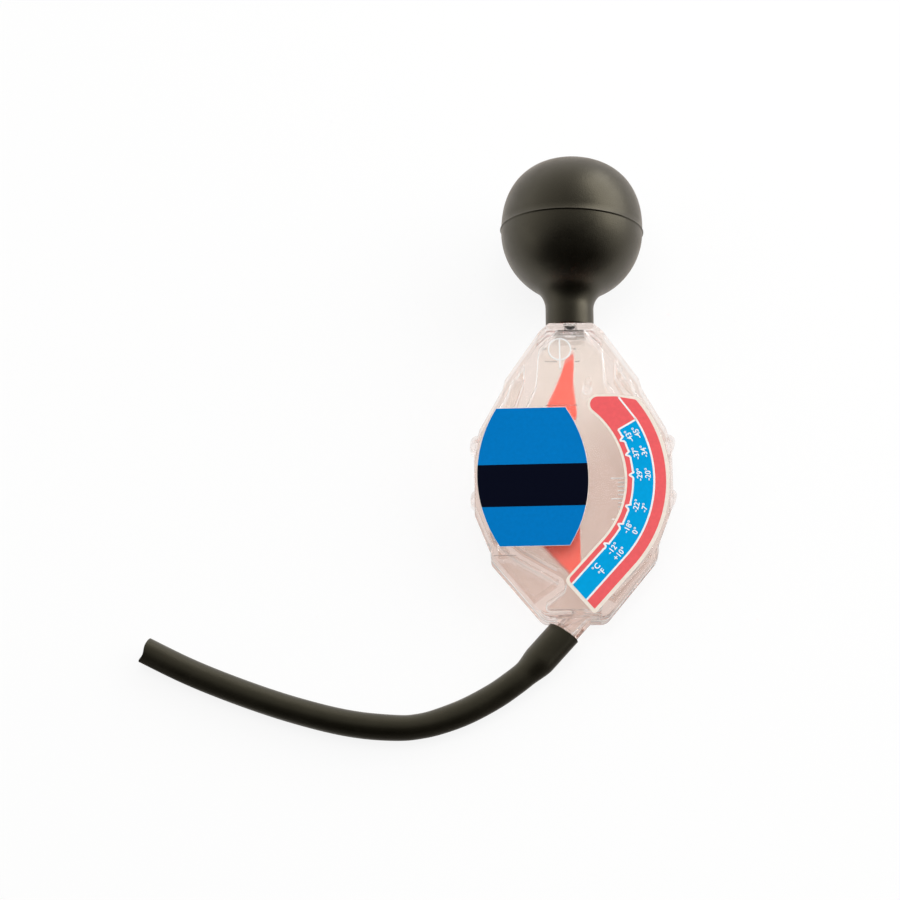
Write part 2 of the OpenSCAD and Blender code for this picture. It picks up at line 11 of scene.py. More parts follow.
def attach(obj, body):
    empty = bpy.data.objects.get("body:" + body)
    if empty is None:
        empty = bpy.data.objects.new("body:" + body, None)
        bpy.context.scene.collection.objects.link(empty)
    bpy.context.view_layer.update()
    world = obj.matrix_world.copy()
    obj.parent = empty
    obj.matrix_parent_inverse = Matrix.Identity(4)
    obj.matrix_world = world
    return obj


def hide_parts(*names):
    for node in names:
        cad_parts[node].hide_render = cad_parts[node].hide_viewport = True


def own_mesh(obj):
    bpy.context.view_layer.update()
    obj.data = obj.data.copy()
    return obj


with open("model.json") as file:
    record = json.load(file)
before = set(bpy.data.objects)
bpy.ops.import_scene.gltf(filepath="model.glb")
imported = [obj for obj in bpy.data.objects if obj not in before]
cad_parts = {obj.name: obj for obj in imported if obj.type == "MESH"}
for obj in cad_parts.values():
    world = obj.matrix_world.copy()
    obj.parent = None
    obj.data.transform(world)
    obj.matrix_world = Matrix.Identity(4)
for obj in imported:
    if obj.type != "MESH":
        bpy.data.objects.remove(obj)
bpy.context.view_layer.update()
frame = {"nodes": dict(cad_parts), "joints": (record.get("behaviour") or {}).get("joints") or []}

# The tester's own axes.
# It lies on its back on the bulb and the foot edge. Its axes start at the middle of the dial, in millimetres:
# u to the right, v toward the bulb, w out of the printed face. The pointer's hinge fixes all three.
swing = next(joint for joint in frame["joints"] if joint["name"] == "pointer_swing")
pivot = Vector((-14.0, 0.0))
u_axis = Vector((1, 0, 0))
w_axis = Vector(swing["axis"]).normalized()
v_axis = w_axis.cross(u_axis)
lie = Matrix((u_axis, v_axis, w_axis)).transposed().to_4x4() @ Matrix.Scale(0.001, 4)
lie.translation = Vector(swing["pos_m"]) - u_axis * pivot.x / 1000


# The clear housing.
# Two halves moulded in clear plastic and welded, the rear one warm in tint and carrying painted shade: a wet
# chamber for the pointer, dry pockets round it behind an outer skirt, a spigot for the bulb at the top, a
# nipple for the hose below.
half = 8.5
face_wall = 2.2
inner_w = half - face_wall
skirt_wall = 2.0
chamber_wall = 3.6
rim_r = 1.0
floor_r = 0.9
round_steps = 4
arc_steps = 48
weld_gap = 0.01
overlap = 1.0
cut_reach = half + overlap
far_out = 90.0
high_out = 40.0

waist_half = 34.7
cheek_half = 29.1
foot_half = 11.0
foot_drop = 49.0
top_half = 7.9
top_level = 57.4
side_path = [
    (foot_half, -foot_drop, 4), (cheek_half, -27.1, 3), (cheek_half, -22.8, 0.4), (29.7, -21.8, 0.6),
    (waist_half, -9, 4), (waist_half, 11, 3), (32.9, 18.2, 4), (24.7, 32.8, 0.8), (23.7, 36.5, 0.8),
    (11.4, 54.2, 3), (top_half, top_level, 1.6),
]
outline = side_path + [(-x, y, r) for x, y, r in side_path[::-1]]

sweep_r = 43.2
sweep_low = -58
sweep_high = 46
bowl_r = 30.4
bowl_high = 124
bowl_low = 234
funnel_half = 12.0
funnel_draft = 0.4
funnel_high = 48.4
right_shoulder = (funnel_half, 37.4)
left_shoulder = (-funnel_half - 0.7, 35.2)
roof_half = 5.0
roof_level = 55.2
nose_top = Vector((-3.45, -32.95))
nose_low = Vector((-3.45, -38.5))
outlet_in = Vector((0.4 - foot_half, -43.8))
outlet_floor = -46.5
outlet_left = (1 - foot_half, outlet_floor)
outlet_right = (foot_half - 1.6, outlet_floor)
bowl_wall_high = 126
wall_half = funnel_half + chamber_wall
wall_right_shoulder = (wall_half, 38.6)
wall_left_shoulder = (-wall_half - 1, 37)
wall_heel = (foot_half + chamber_wall, -42)
wall_top = 77
wall_foot = -69
wall_run = 20

pin_boss_r = 3.0
pin_boss_gap = 2.7
lug_r = 2.8
lug_half = 5.0
lug_core_r = 2.2
lug_in = 1.3
lug_levels = (14, -5.6)
rib_in = 5.5
rib_half = 6.0
rib_low = -26.8
rib_high = -25.2
locator_u = 18.4
locator_v = 38.7
locator_r = 2.2
stop_place = Vector((6, 36.5))
stop_r = 1.2
stop_sink = 0.5
stop_gap = 0.1
spigot_r = 6.2
spigot_bore_r = 2.6
spigot_long = 13.5
spigot_chamfer = 0.6
spigot_bore_from = -4.0
spigot_bore_to = 30.0
spigot_foot = (0, top_level, 0)
spigot_way = (0, 1, 0)
hose_mouth = Vector((-4.2, -53.3, 0))
nipple_turn = math.radians(47.5)
nipple_way = Vector((-math.cos(nipple_turn), -math.sin(nipple_turn), 0))
nipple_r = 4.2
nipple_bore_r = 2.5
nipple_long = 13.0
nipple_chamfer = 0.6
boss_r = 4.9
boss_back = 9.0
boss_short = 1.1
boss_chamfer = 0.3


def arc(middle, r, start, end, n):
    turns = [math.radians(start + (end - start) * i / n) for i in range(n + 1)]
    return [Vector((middle[0] + r * math.cos(t), middle[1] + r * math.sin(t))) for t in turns]


def bend(a, b, c, r, n):
    d1 = (a - b).normalized()
    d2 = (c - b).normalized()
    opening = d1.angle(d2) / 2
    middle = b + (d1 + d2).normalized() * r / math.sin(opening)
    first = b + d1 * r / math.tan(opening) - middle
    last = b + d2 * r / math.tan(opening) - middle
    start = math.degrees(math.atan2(first.y, first.x))
    turn = (math.degrees(math.atan2(last.y, last.x)) - start + 180) % 360 - 180
    return arc(middle, r, start, start + turn, n)


def rounded(points, n=6):
    path = []
    for i, (x, y, r) in enumerate(points):
        a = Vector(points[i - 1][:2])
        c = Vector(points[(i + 1) % len(points)][:2])
        path += bend(a, Vector((x, y)), c, r, n)
    return path


def inset(points, d, least_r=0.3):
    moved = []
    for i, (x, y, r) in enumerate(points):
        e1 = (Vector((x, y)) - Vector(points[i - 1][:2])).normalized()
        e2 = (Vector(points[(i + 1) % len(points)][:2]) - Vector((x, y))).normalized()
        n1 = Vector((-e1.y, e1.x))
        n2 = Vector((-e2.y, e2.x))
        p = Vector((x, y)) + d * (n1 + n2) / (1 + n1.dot(n2))
        hollow = e1.x * e2.y < e1.y * e2.x
        moved.append((p.x, p.y, max(r + (d if hollow else -d), least_r)))
    return moved


def shrink(path, d):
    moved = []
    for i, p in enumerate(path):
        e1 = (p - path[i - 1]).normalized()
        e2 = (path[(i + 1) % len(path)] - p).normalized()
        n = Vector((-e1.y - e2.y, e1.x + e2.x)).normalized()
        moved.append(p + n * d)
    return moved


def run(points, radii, n=5):
    points = [Vector(p) for p in points]
    path = []
    for i, r in enumerate(radii):
        path += bend(points[i], points[i + 1], points[i + 2], r, n)
    return path


def beside(a, b, d):
    e = (b - a).normalized()
    n = Vector((e.y, -e.x)) * d
    return a + n, b + n


def meet(first, second):
    (a, b), (c, d) = first, second
    e = b - a
    f = d - c
    return a + e * ((c - a).x * f.y - (c - a).y * f.x) / (e.x * f.y - e.y * f.x)


def finished(name, mesh):
    bmesh.ops.recalc_face_normals(mesh, faces=mesh.faces)
    data = bpy.data.meshes.new(name)
    mesh.to_mesh(data)
    mesh.free()
    obj = bpy.data.objects.new(name, data)
    bpy.context.scene.collection.objects.link(obj)
    return obj


def prism(mesh, rings):
    rows = [[mesh.verts.new(p) for p in ring] for ring in rings]
    faces = [mesh.faces.new(rows[0][::-1]), mesh.faces.new(rows[-1])]
    for low, high in zip(rows, rows[1:]):
        for k in range(len(low)):
            j = (k + 1) % len(low)
            faces.append(mesh.faces.new((low[k], low[j], high[j], high[k])))
    return faces


def solid(name, rings):
    mesh = bmesh.new()
    prism(mesh, rings)
    return finished(name, mesh)


def quarter(n):
    return [math.pi / 2 * k / n for k in range(n + 1)]


def pillow(name, path_at, half_deep, r):
    steps = [(r * (1 - math.sin(a)), r * math.cos(a)) for a in quarter(round_steps)]
    low = [(d, -(half_deep - r) - rise) for d, rise in steps]
    high = [(d, -w) for d, w in low[::-1]]
    return solid(name, [[(p.x, p.y, w) for p in path_at(d)] for d, w in low + high])


def post(name, u, v, r, low, high, n=32):
    turns = [2 * math.pi * k / n for k in range(n)]
    return solid(name, [[(u + r * math.cos(t), v + r * math.sin(t), w) for t in turns] for w in (low, high)])


def rod(name, start, along, rings, n=48):
    along = Vector(along).normalized()
    side = along.cross(Vector((0, 0, 1))).normalized()
    over = side.cross(along)
    turns = [2 * math.pi * k / n for k in range(n)]
    return solid(name, [
        [Vector(start) + along * s + r * (side * math.cos(t) + over * math.sin(t)) for t in turns]
        for s, r in rings
    ])


def block(name, low, high):
    (x1, y1, z1), (x2, y2, z2) = low, high
    return solid(name, [[(x1, y1, z), (x2, y1, z), (x2, y2, z), (x1, y2, z)] for z in (z1, z2)])


def carve(target, tool, how="DIFFERENCE"):
    step = target.modifiers.new("carve", "BOOLEAN")
    step.operation = how
    step.object = tool
    step.solver = "EXACT"
    graph = bpy.context.evaluated_depsgraph_get()
    result = bpy.data.meshes.new_from_object(target.evaluated_get(graph))
    target.modifiers.clear()
    target.data = result
    bpy.data.objects.remove(tool)
    return target


sweep = arc(pivot, sweep_r, sweep_low, sweep_high, arc_steps)
bowl = arc((0, 0), bowl_r, bowl_high, bowl_low, arc_steps)
chamber_path = [
    *sweep,
    *run([
        sweep[-1], right_shoulder, (funnel_half - funnel_draft, funnel_high), (roof_half, roof_level),
        (-roof_half, roof_level), (funnel_draft - funnel_half, funnel_high), left_shoulder, bowl[0],
    ], [4, 4, 1.5, 1.5, 4, 5]),
    *bowl,
    *run([
        bowl[-1], nose_top, nose_low, outlet_in, outlet_left, outlet_right, sweep[0],
    ], [2.6, 2.6, 1.6, 1.2, 2]),
]
nose_root = meet(beside(bowl[-1], nose_top, chamber_wall), beside(nose_low, outlet_in, chamber_wall))
wall_exit = nose_root + (outlet_in - nose_low).normalized() * wall_run
wall_path = [
    *arc(pivot, sweep_r + chamber_wall, sweep_low, sweep_high, arc_steps),
    Vector(wall_right_shoulder),
    Vector((wall_half, wall_top)),
    Vector((-wall_half, wall_top)),
    Vector(wall_left_shoulder),
    *arc((0, 0), bowl_r + chamber_wall, bowl_wall_high, bowl_low, arc_steps),
    nose_root,
    wall_exit,
    Vector((wall_exit.x, wall_foot)),
    Vector((wall_heel[0], wall_foot)),
    Vector(wall_heel),
]

chamber = pillow("chamber", lambda d: shrink(chamber_path, d), inner_w, floor_r)
for name, low, high in (("front_boss", pin_boss_gap, half), ("rear_boss", -half, -pin_boss_gap)):
    carve(chamber, post(name, *pivot, pin_boss_r, low, high))
pocket = pillow("pocket", lambda d: rounded(inset(outline, skirt_wall + d)), inner_w, floor_r)
wall_rings = [(-floor_r, -cut_reach)]
for a in quarter(round_steps):
    wall_rings.append((-floor_r * (1 - math.sin(a)), -inner_w + floor_r * (1 - math.cos(a))))
wall_rings += [(d, -w) for d, w in wall_rings[::-1]]
carve(pocket, solid("wall", [[(p.x, p.y, w) for p in shrink(wall_path, d)] for d, w in wall_rings]))
lug_places = [(side * (waist_half - lug_in), v) for side in (-1, 1) for v in lug_levels]
for u, v in lug_places:
    carve(pocket, post("lug_core", u, v, lug_core_r, -cut_reach, cut_reach))
for side in (-1, 1):
    rib_middle = side * (cheek_half - rib_in)
    rib_start = (rib_middle - rib_half, rib_low, -cut_reach)
    rib_end = (rib_middle + rib_half, rib_high, cut_reach)
    carve(pocket, block("rib", rib_start, rib_end))
    carve(pocket, post("locator", side * locator_u, locator_v, locator_r, -cut_reach, cut_reach))
pocket_skin = BVHTree.FromPolygons(
    [corner.co for corner in pocket.data.vertices], [face.vertices for face in pocket.data.polygons]
)

spigot_rings = [
    (weld_gap, spigot_r), (spigot_long - spigot_chamfer, spigot_r), (spigot_long, spigot_r - spigot_chamfer),
]
boss_rings = [
    (-boss_back, boss_r), (-boss_short - boss_chamfer, boss_r), (-boss_short, boss_r - boss_chamfer),
]
nipple_rings = [
    (overlap - boss_back, nipple_r), (nipple_long - nipple_chamfer, nipple_r),
    (nipple_long, nipple_r - nipple_chamfer),
]
spigot_bore_rings = [(spigot_bore_from, spigot_bore_r), (spigot_bore_to, spigot_bore_r)]
nipple_bore_rings = [(-boss_back - overlap, nipple_bore_r), (nipple_long + 2 * overlap, nipple_bore_r)]
housing = pillow("housing", lambda d: rounded(inset(outline, d)), half, rim_r)
for u, v in lug_places:
    carve(housing, post("lug", u, v, lug_r, -lug_half, lug_half), "UNION")
carve(housing, rod("spigot", spigot_foot, spigot_way, spigot_rings), "UNION")
carve(housing, rod("boss", hose_mouth, nipple_way, boss_rings), "UNION")
carve(housing, rod("nipple", hose_mouth, nipple_way, nipple_rings), "UNION")
carve(housing, chamber)
carve(housing, pocket)
carve(housing, rod("spigot_bore", spigot_foot, spigot_way, spigot_bore_rings))
carve(housing, rod("nipple_bore", hose_mouth, nipple_way, nipple_bore_rings))

front = housing
front.name = "front_half"
rear = housing.copy()
rear.data = housing.data.copy()
rear.name = "rear_half"
bpy.context.scene.collection.objects.link(rear)
carve(front, block("front_side", (-far_out, -far_out, weld_gap), (far_out, far_out, high_out)), "INTERSECT")
carve(rear, block("rear_side", (-far_out, -far_out, -high_out), (far_out, far_out, -weld_gap)), "INTERSECT")
carve(rear, post("stop_post", *stop_place, stop_r, -inner_w - stop_sink, inner_w - stop_gap), "UNION")


def link(tree, start, end):
    tree.links.new(start, end)


def add(tree, kind, **values):
    node = tree.nodes.new(kind)
    for name, value in values.items():
        if hasattr(node, name):
            setattr(node, name, value)
        else:
            node.inputs[name].default_value = value
    return node


def ramp(tree, value, start, end, low, high, curve="LINEAR"):
    node = add(tree, "ShaderNodeMapRange", interpolation_type=curve)
    for socket, level in (("From Min", start), ("From Max", end), ("To Min", low), ("To Max", high)):
        node.inputs[socket].default_value = level
    link(tree, value, node.inputs["Value"])
    return node.outputs["Result"]


def maths(tree, operation, first, second, clamp=False):
    node = add(tree, "ShaderNodeMath", operation=operation, use_clamp=clamp)
    for socket, value in zip(node.inputs, (first, second)):
        if isinstance(value, float):
            socket.default_value = value
        else:
            link(tree, value, socket)
    return node.outputs[0]


def mixed(tree, share, first, second):
    node = add(tree, "ShaderNodeMixShader")
    for socket, value in zip(node.inputs, (share, first, second)):
        link(tree, value, socket)
    return node.outputs[0]


def noise(tree, where, scale, detail):
    node = add(tree, "ShaderNodeTexNoise", Scale=scale, Detail=detail)
    link(tree, where, node.inputs["Vector"])
    return node.outputs["Fac"]


def clouds(tree, where, scale, detail, low=0, high=1):
    faint, strong = 0.3, 0.7
    return ramp(tree, noise(tree, where, scale, detail), faint, strong, low, high)


def effect(name, colours):
    tree = bpy.data.node_groups.new(name, "ShaderNodeTree")
    for colour in colours:
        tree.interface.new_socket(colour, in_out="INPUT", socket_type="NodeSocketColor")
    if colours:
        tree.interface.new_socket("Colour", in_out="OUTPUT", socket_type="NodeSocketColor")
    tree.interface.new_socket("Roughness", in_out="OUTPUT", socket_type="NodeSocketFloat")
    tree.interface.new_socket("Height", in_out="OUTPUT", socket_type="NodeSocketFloat")
    into = tree.nodes.new("NodeGroupInput").outputs
    out = tree.nodes.new("NodeGroupOutput").inputs
    where = tree.nodes.new("ShaderNodeTexCoord").outputs["Object"]
    return tree, into, out, where


def material(name, group, colours, bump, depth, **shader):
    mat = bpy.data.materials.new(name)
    mat.use_nodes = True
    tree = mat.node_tree
    principled = tree.nodes["Principled BSDF"]
    for socket, value in shader.items():
        principled.inputs[socket.replace("_", " ")].default_value = value
    node = add(tree, "ShaderNodeGroup", node_tree=group)
    for socket, colour in colours.items():
        node.inputs[socket].default_value = (*colour, 1)
    rise = add(tree, "ShaderNodeBump", Strength=bump, Distance=depth)
    link(tree, node.outputs["Height"], rise.inputs["Height"])
    link(tree, rise.outputs["Normal"], principled.inputs["Normal"])
    link(tree, node.outputs["Roughness"], principled.inputs["Roughness"])
    if colours:
        link(tree, node.outputs["Colour"], principled.inputs["Base Color"])
    return mat


# Clear plastic has a polish with faint waves. Part of the light goes straight through its thin walls, and
# least through the thick flat top and foot.
moulding, into, out, where = effect("clear_moulding", [])
link(moulding, clouds(moulding, where, scale=240, detail=3, low=0.01, high=0.05), out["Roughness"])
link(moulding, noise(moulding, where, scale=55, detail=2), out["Height"])
clear_ior = 1.47
light_through = 0.68
end_through = 0.12
weld_through = 0.96
wall_through = 0.86
top_from = 52.6
top_to = 54.2
foot_from = -45.8
foot_to = -47.2
shade_ramp_from = 2
shade_ramp_to = 44
front_tint = (0.97, 0.951, 0.941)
wall_tint = (0.95, 0.90, 0.88)
# The rear tint is partly the plastic's warm tint and partly painted shade of the floor seen through the
# housing.
rear_tint_shade_low = (0.68, 0.525, 0.46)
rear_tint_shade_high = (0.855, 0.755, 0.685)
dial_height = lie.translation.dot(v_axis)


def along_v(tree, start, end, low, high):
    height = add(tree, "ShaderNodeVectorMath", operation="DOT_PRODUCT")
    link(tree, add(tree, "ShaderNodeTexCoord").outputs["Object"], height.inputs[0])
    height.inputs[1].default_value = v_axis
    first = dial_height + start / 1000
    last = dial_height + end / 1000
    return ramp(tree, height.outputs["Value"], first, last, low, high, "SMOOTHSTEP")


def clear_plastic(name, tint, through):
    mat = material(
        name, moulding, {}, bump=0.05, depth=0.0006,
        Base_Color=(*tint, 1), Transmission_Weight=1.0, IOR=clear_ior,
    )
    tree = mat.node_tree
    surface = tree.nodes["Material Output"].inputs["Surface"]
    shader = surface.links[0].from_socket
    passing = add(tree, "ShaderNodeBsdfTransparent", Color=(*[math.sqrt(c) for c in tint], 1))
    seen = add(tree, "ShaderNodeMixShader", Fac=through)
    link(tree, shader, seen.inputs[1])
    link(tree, passing.outputs[0], seen.inputs[2])
    shadow = add(tree, "ShaderNodeLightPath").outputs["Is Shadow Ray"]
    link(tree, mixed(tree, shadow, seen.outputs[0], passing.outputs[0]), surface)
    return tree, passing, seen


def shaded_ends(tree, seen):
    top = along_v(tree, top_from, top_to, light_through, end_through)
    foot = along_v(tree, foot_from, foot_to, light_through, end_through)
    link(tree, maths(tree, "MINIMUM", top, foot), seen.inputs[0])


clear_plastic("weld_clear", wall_tint, weld_through)
clear_plastic("wall_clear", wall_tint, wall_through)
tree, passing, seen = clear_plastic("front_clear", front_tint, light_through)
shaded_ends(tree, seen)
tree, passing, seen = clear_plastic("rear_clear_painted_shade", rear_tint_shade_low, light_through)
shaded_ends(tree, seen)
# Painted shade: the rear half is darker toward the foot and lighter toward the top.
height = along_v(tree, shade_ramp_from, shade_ramp_to, 0, 1)
plastic_colour = tree.nodes["Principled BSDF"].inputs["Base Color"]
for socket, power in ((plastic_colour, 1), (passing.inputs["Color"], 0.5)):
    tint_and_shade = add(tree, "ShaderNodeMix", data_type="RGBA")
    link(tree, height, tint_and_shade.inputs[0])
    tint_and_shade.inputs[6].default_value = (*[c**power for c in rear_tint_shade_low], 1)
    tint_and_shade.inputs[7].default_value = (*[c**power for c in rear_tint_shade_high], 1)
    link(tree, tint_and_shade.outputs[2], socket)

housing_crease = math.radians(32)
near = 0.1
touching = 0.01
end_past = 1.5
level_from = 0.9
low_from = -21
own, weld, pale, low_wall = range(4)
for piece, finish, node in ((rear, "rear_clear_painted_shade", "rear_shell"), (front, "front_clear", "front_shell")):
    piece.data.materials.clear()
    for used in (finish, "weld_clear", "front_clear", "wall_clear"):
        piece.data.materials.append(bpy.data.materials[used])
    piece.data.shade_smooth()
    piece.data.set_sharp_from_angle(angle=housing_crease)
    for face in piece.data.polygons:
        at = face.center
        on_post = (at.xy - stop_place).length < stop_r + near and abs(at.z) < inner_w
        on_boss = abs((at - hose_mouth).cross(nipple_way).z) < boss_r + near
        at_end = at.y > roof_level or (at.y < outlet_floor - end_past and not on_boss)
        on_lug = abs(at.x) > waist_half
        upright = abs(face.normal.z) < level_from
        if abs(at.z) < 2 * weld_gap:
            face.material_index = weld
        elif on_post or at_end or on_lug:
            face.material_index = pale
        elif at.y < low_from and upright and pocket_skin.find_nearest(at)[3] < touching:
            face.material_index = low_wall
        else:
            face.material_index = own
    piece.data.transform(lie)
    even = piece.modifiers.new("even_normals", "WEIGHTED_NORMAL")
    even.keep_sharp = True
    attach(piece, "housing")
    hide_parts(node)


# The moulded marks.
# Thin frosted ridges on the inside of the front face: a ring on a plumb line, and a ruler beside the scale.
# The level has scratched hairlines, and a dark hairline under the rib is painted shade along its edge. A
# frosted bead runs along the weld of the walls and of the lower skirt; its white is also painted highlight
# along those edges.
mark_low = inner_w - 0.3
mark_high = inner_w + 0.2
ring_middle = (-4.1, 48.0)
ring_r = 4.2
ring_wall = 0.55
ring_sides = 48
plumb_half = 0.3
plumb_low = 41.0
plumb_high = 51.6
ruler_u = 17.9
ruler_top = 0.5
ruler_step = 1.48
ruler_ticks = 11
ticks_apart = 5
long_tick = 4.9
short_tick = 2.5
tick_half = 0.17
foot_ring_r = 1.9
foot_ring_low = 0.05 - inner_w
foot_ring_high = 0.35 - inner_w
foot_ring_gap = 0.05
hair_wide = 0.13
# The first hairline, under the rib, is painted shade along the rib's edge; the others are the level's
# hairlines.
hairlines_and_rib_shade = [
    (-28.4, -20.6, -27.0), (-9.3, 2.1, 27.3), (-9.4, -5.2, 43.4), (1.4, 2.9, 43.4), (-9.9, -8.7, 48.1),
    (0.2, 1.9, 48.1),
]
bead_half = 0.2
bead_wide = 0.42
bead_grip = 0.05
nose_clear_r = 3.5
edge_half = 0.4
edge_out = 0.25
bare_rim = 1.2
bare_wall_half = 1.5
bare_wall_from = 0.8
tool_half = 1.0


def hair(name, left, right, v):
    return block(name, (left, v, mark_low), (right, v + hair_wide, mark_high))


def sheet(name, path, reach):
    return solid(name, [[(p.x, p.y, w) for p in path] for w in (-reach, reach)])


def above_low(name):
    return block(name, (-far_out, low_from, -far_out), (far_out, far_out, far_out))


marks = [((ring_middle[0] - plumb_half, plumb_low), (ring_middle[0] + plumb_half, plumb_high))]
for i in range(ruler_ticks):
    v = ruler_top - ruler_step * i
    tick = short_tick if i % ticks_apart else long_tick
    marks.append(((ruler_u - tick, v - tick_half), (ruler_u, v + tick_half)))
ridges = post("moulded_marks", *ring_middle, ring_r, mark_low, mark_high, ring_sides)
carve(ridges, post("ring_hole", *ring_middle, ring_r - ring_wall, 0, half, ring_sides))
for low, high in marks:
    carve(ridges, block("mark", (*low, mark_low), (*high, mark_high)), "UNION")
foot_ring = post("foot_ring", *stop_place, foot_ring_r, foot_ring_low, foot_ring_high)
carve(foot_ring, post("foot_hole", *stop_place, stop_r + foot_ring_gap, -half, half))
carve(ridges, foot_ring, "UNION")
# Painted shade: the first hairline is a dark line under the rib's edge.
scratches_and_rib_shade = hair("level_hairlines_and_rib_shade", *hairlines_and_rib_shade[0])
for place in hairlines_and_rib_shade[1:]:
    carve(scratches_and_rib_shade, hair("hair", *place), "UNION")

# The bead's white is painted highlight along the wall, pocket and rim edges, on a frosted weld bead.
weld_and_highlight_bead = sheet("weld_bead_painted_highlight", shrink(chamber_path, -bead_grip), bead_half)
carve(weld_and_highlight_bead, sheet("bead_inside", shrink(chamber_path, bead_wide), tool_half))
carve(weld_and_highlight_bead, rod("bead_top", spigot_foot, spigot_way, spigot_bore_rings))
carve(weld_and_highlight_bead, post("bead_nose", *nose_top, nose_clear_r, -tool_half, tool_half))
carve(weld_and_highlight_bead, rod("bead_foot", hose_mouth, nipple_way, nipple_bore_rings))
round_pocket = sheet("round_pocket", rounded(inset(outline, skirt_wall - bead_grip)), bead_half)
carve(round_pocket, sheet("wall", shrink(wall_path, bead_grip), tool_half))
in_pocket = sheet("in_pocket", rounded(inset(outline, skirt_wall + bead_wide)), tool_half)
carve(in_pocket, sheet("wall", shrink(wall_path, -bead_wide), 2 * tool_half))
carve(round_pocket, in_pocket)
low_rim = sheet("low_rim", rounded(outline), tool_half)
carve(low_rim, sheet("low_core", rounded(inset(outline, skirt_wall + bare_rim)), 2 * tool_half))
carve(low_rim, above_low("rim_above"))
carve(round_pocket, low_rim)
bare_way = (wall_exit - nose_root).normalized()
bare_side = Vector((bare_way.y, -bare_way.x)) * bare_wall_half
bare_start = nose_root + bare_way * bare_wall_from
bare_wall = [bare_start - bare_side, wall_exit - bare_side, wall_exit + bare_side, bare_start + bare_side]
carve(round_pocket, sheet("bare_wall", bare_wall, tool_half))
edge = sheet("edge", rounded(inset(outline, -edge_out)), edge_half)
edge_boss_r = boss_r + bead_grip
carve(edge, sheet("edge_core", rounded(inset(outline, bead_grip)), tool_half))
carve(edge, above_low("edge_above"))
carve(edge, rod("edge_boss", hose_mouth, nipple_way, [(-boss_back, edge_boss_r), (nipple_long, edge_boss_r)]))
carve(weld_and_highlight_bead, edge, "UNION")
carve(weld_and_highlight_bead, round_pocket, "UNION")
# The bead's near-white stands in for edge highlights, so it is painted highlight.
for piece, colour, cover in (
    (ridges, (0.95, 0.94, 0.93), 0.85), (scratches_and_rib_shade, (0.3, 0.27, 0.25), 0.5), (weld_and_highlight_bead, (0.96, 0.95, 0.94), 0.7),
):
    frosted = material(piece.name, moulding, {}, bump=0.1, depth=0.0002, Base_Color=(*colour, 1), Alpha=cover)
    piece.data.materials.clear()
    piece.data.materials.append(frosted)
    piece.data.transform(lie)
    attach(piece, "housing")


# The works inside: pivot pin, pointer, balance weight and level marker.
# A red float plate swings on a ground steel pin, with a brass slug pressed into its tail, below a fixed red
# plate with a drawn-out tip. The pin and the slug keep their solids and get their finish here.
plate_half = 1.2
float_middle = Vector((0, 1.1))
float_r = 14.0
float_from = 71.5
float_to = 290.2
float_steps = 64
tip = Vector((39.6, 0.6))
tip_r = 0.5
right_bend = Vector((17.5, 10.0))
right_bend_r = 6.0
bend_steps = 6
pointer_rest = Matrix.Rotation(math.radians(-66.8), 2)
hub_r = 3.4
hub_half = 2.5
pin_hole_r = 1.05
slug_place = Vector((-10, 0))
slug_hole_r = 2.8
slug_sides = 64
marker_low = 0.02 - inner_w
marker_high = 1.2 - inner_w
marker_path = rounded([
    (0.2, 24.7, 0.3), (2.3, 25.9, 1.6), (1.85, 31.2, 6), (1.0, 38.6, 20), (1.5, 47.6, 4), (1.2, 50.0, 0.35),
    (-1.65, 47.5, 1.2), (-3.15, 42.4, 20), (-5.75, 36.2, 20), (-8.4, 30.8, 1.2), (-8.9, 24.7, 0.5),
])


def blend(tree, share, first, second):
    node = add(tree, "ShaderNodeMix", data_type="RGBA")
    link(tree, share, node.inputs[0])
    link(tree, first, node.inputs[6])
    link(tree, second, node.inputs[7])
    return node.outputs[2]


# Moulded plastic has faint streaks of colour. Turned metal has fine rings, and is dull in spots.
moulded, into, out, where = effect("moulded_plastic", ["Plastic", "Streak"])
swirl = clouds(moulded, where, scale=95, detail=3)
link(moulded, blend(moulded, swirl, into["Plastic"], into["Streak"]), out["Colour"])
link(moulded, clouds(moulded, where, scale=300, detail=3, low=0.38, high=0.52), out["Roughness"])
link(moulded, noise(moulded, where, scale=1800, detail=2), out["Height"])
metal, into, out, where = effect("turned_metal", ["Bright", "Dull"])
rings = add(metal, "ShaderNodeTexWave", wave_type="RINGS", rings_direction="Z", Scale=900.0, Distortion=2.0)
link(metal, where, rings.inputs["Vector"])
tarnish = clouds(metal, where, scale=420, detail=4)
link(metal, blend(metal, tarnish, into["Bright"], into["Dull"]), out["Colour"])
link(metal, clouds(metal, where, scale=700, detail=3, low=0.24, high=0.4), out["Roughness"])
link(metal, rings.outputs["Fac"], out["Height"])
red = material(
    "red_plastic", moulded, {"Plastic": (0.93, 0.15, 0.11), "Streak": (0.95, 0.17, 0.125)},
    bump=0.12, depth=0.0002, Specular_IOR_Level=0.2,
)
brass = material(
    "brass", metal, {"Bright": (0.78, 0.58, 0.27), "Dull": (0.62, 0.45, 0.2)},
    bump=0.2, depth=0.0001, Metallic=1.0,
)
steel = material(
    "pin_steel", metal, {"Bright": (0.68, 0.68, 0.68), "Dull": (0.52, 0.52, 0.53)},
    bump=0.1, depth=0.0001, Metallic=1.0,
)
for node, finish in (("balance_weight", brass), ("pivot_pin", steel)):
    solid_mesh = frame["nodes"][node].data
    solid_mesh.materials.clear()
    solid_mesh.materials.append(finish)

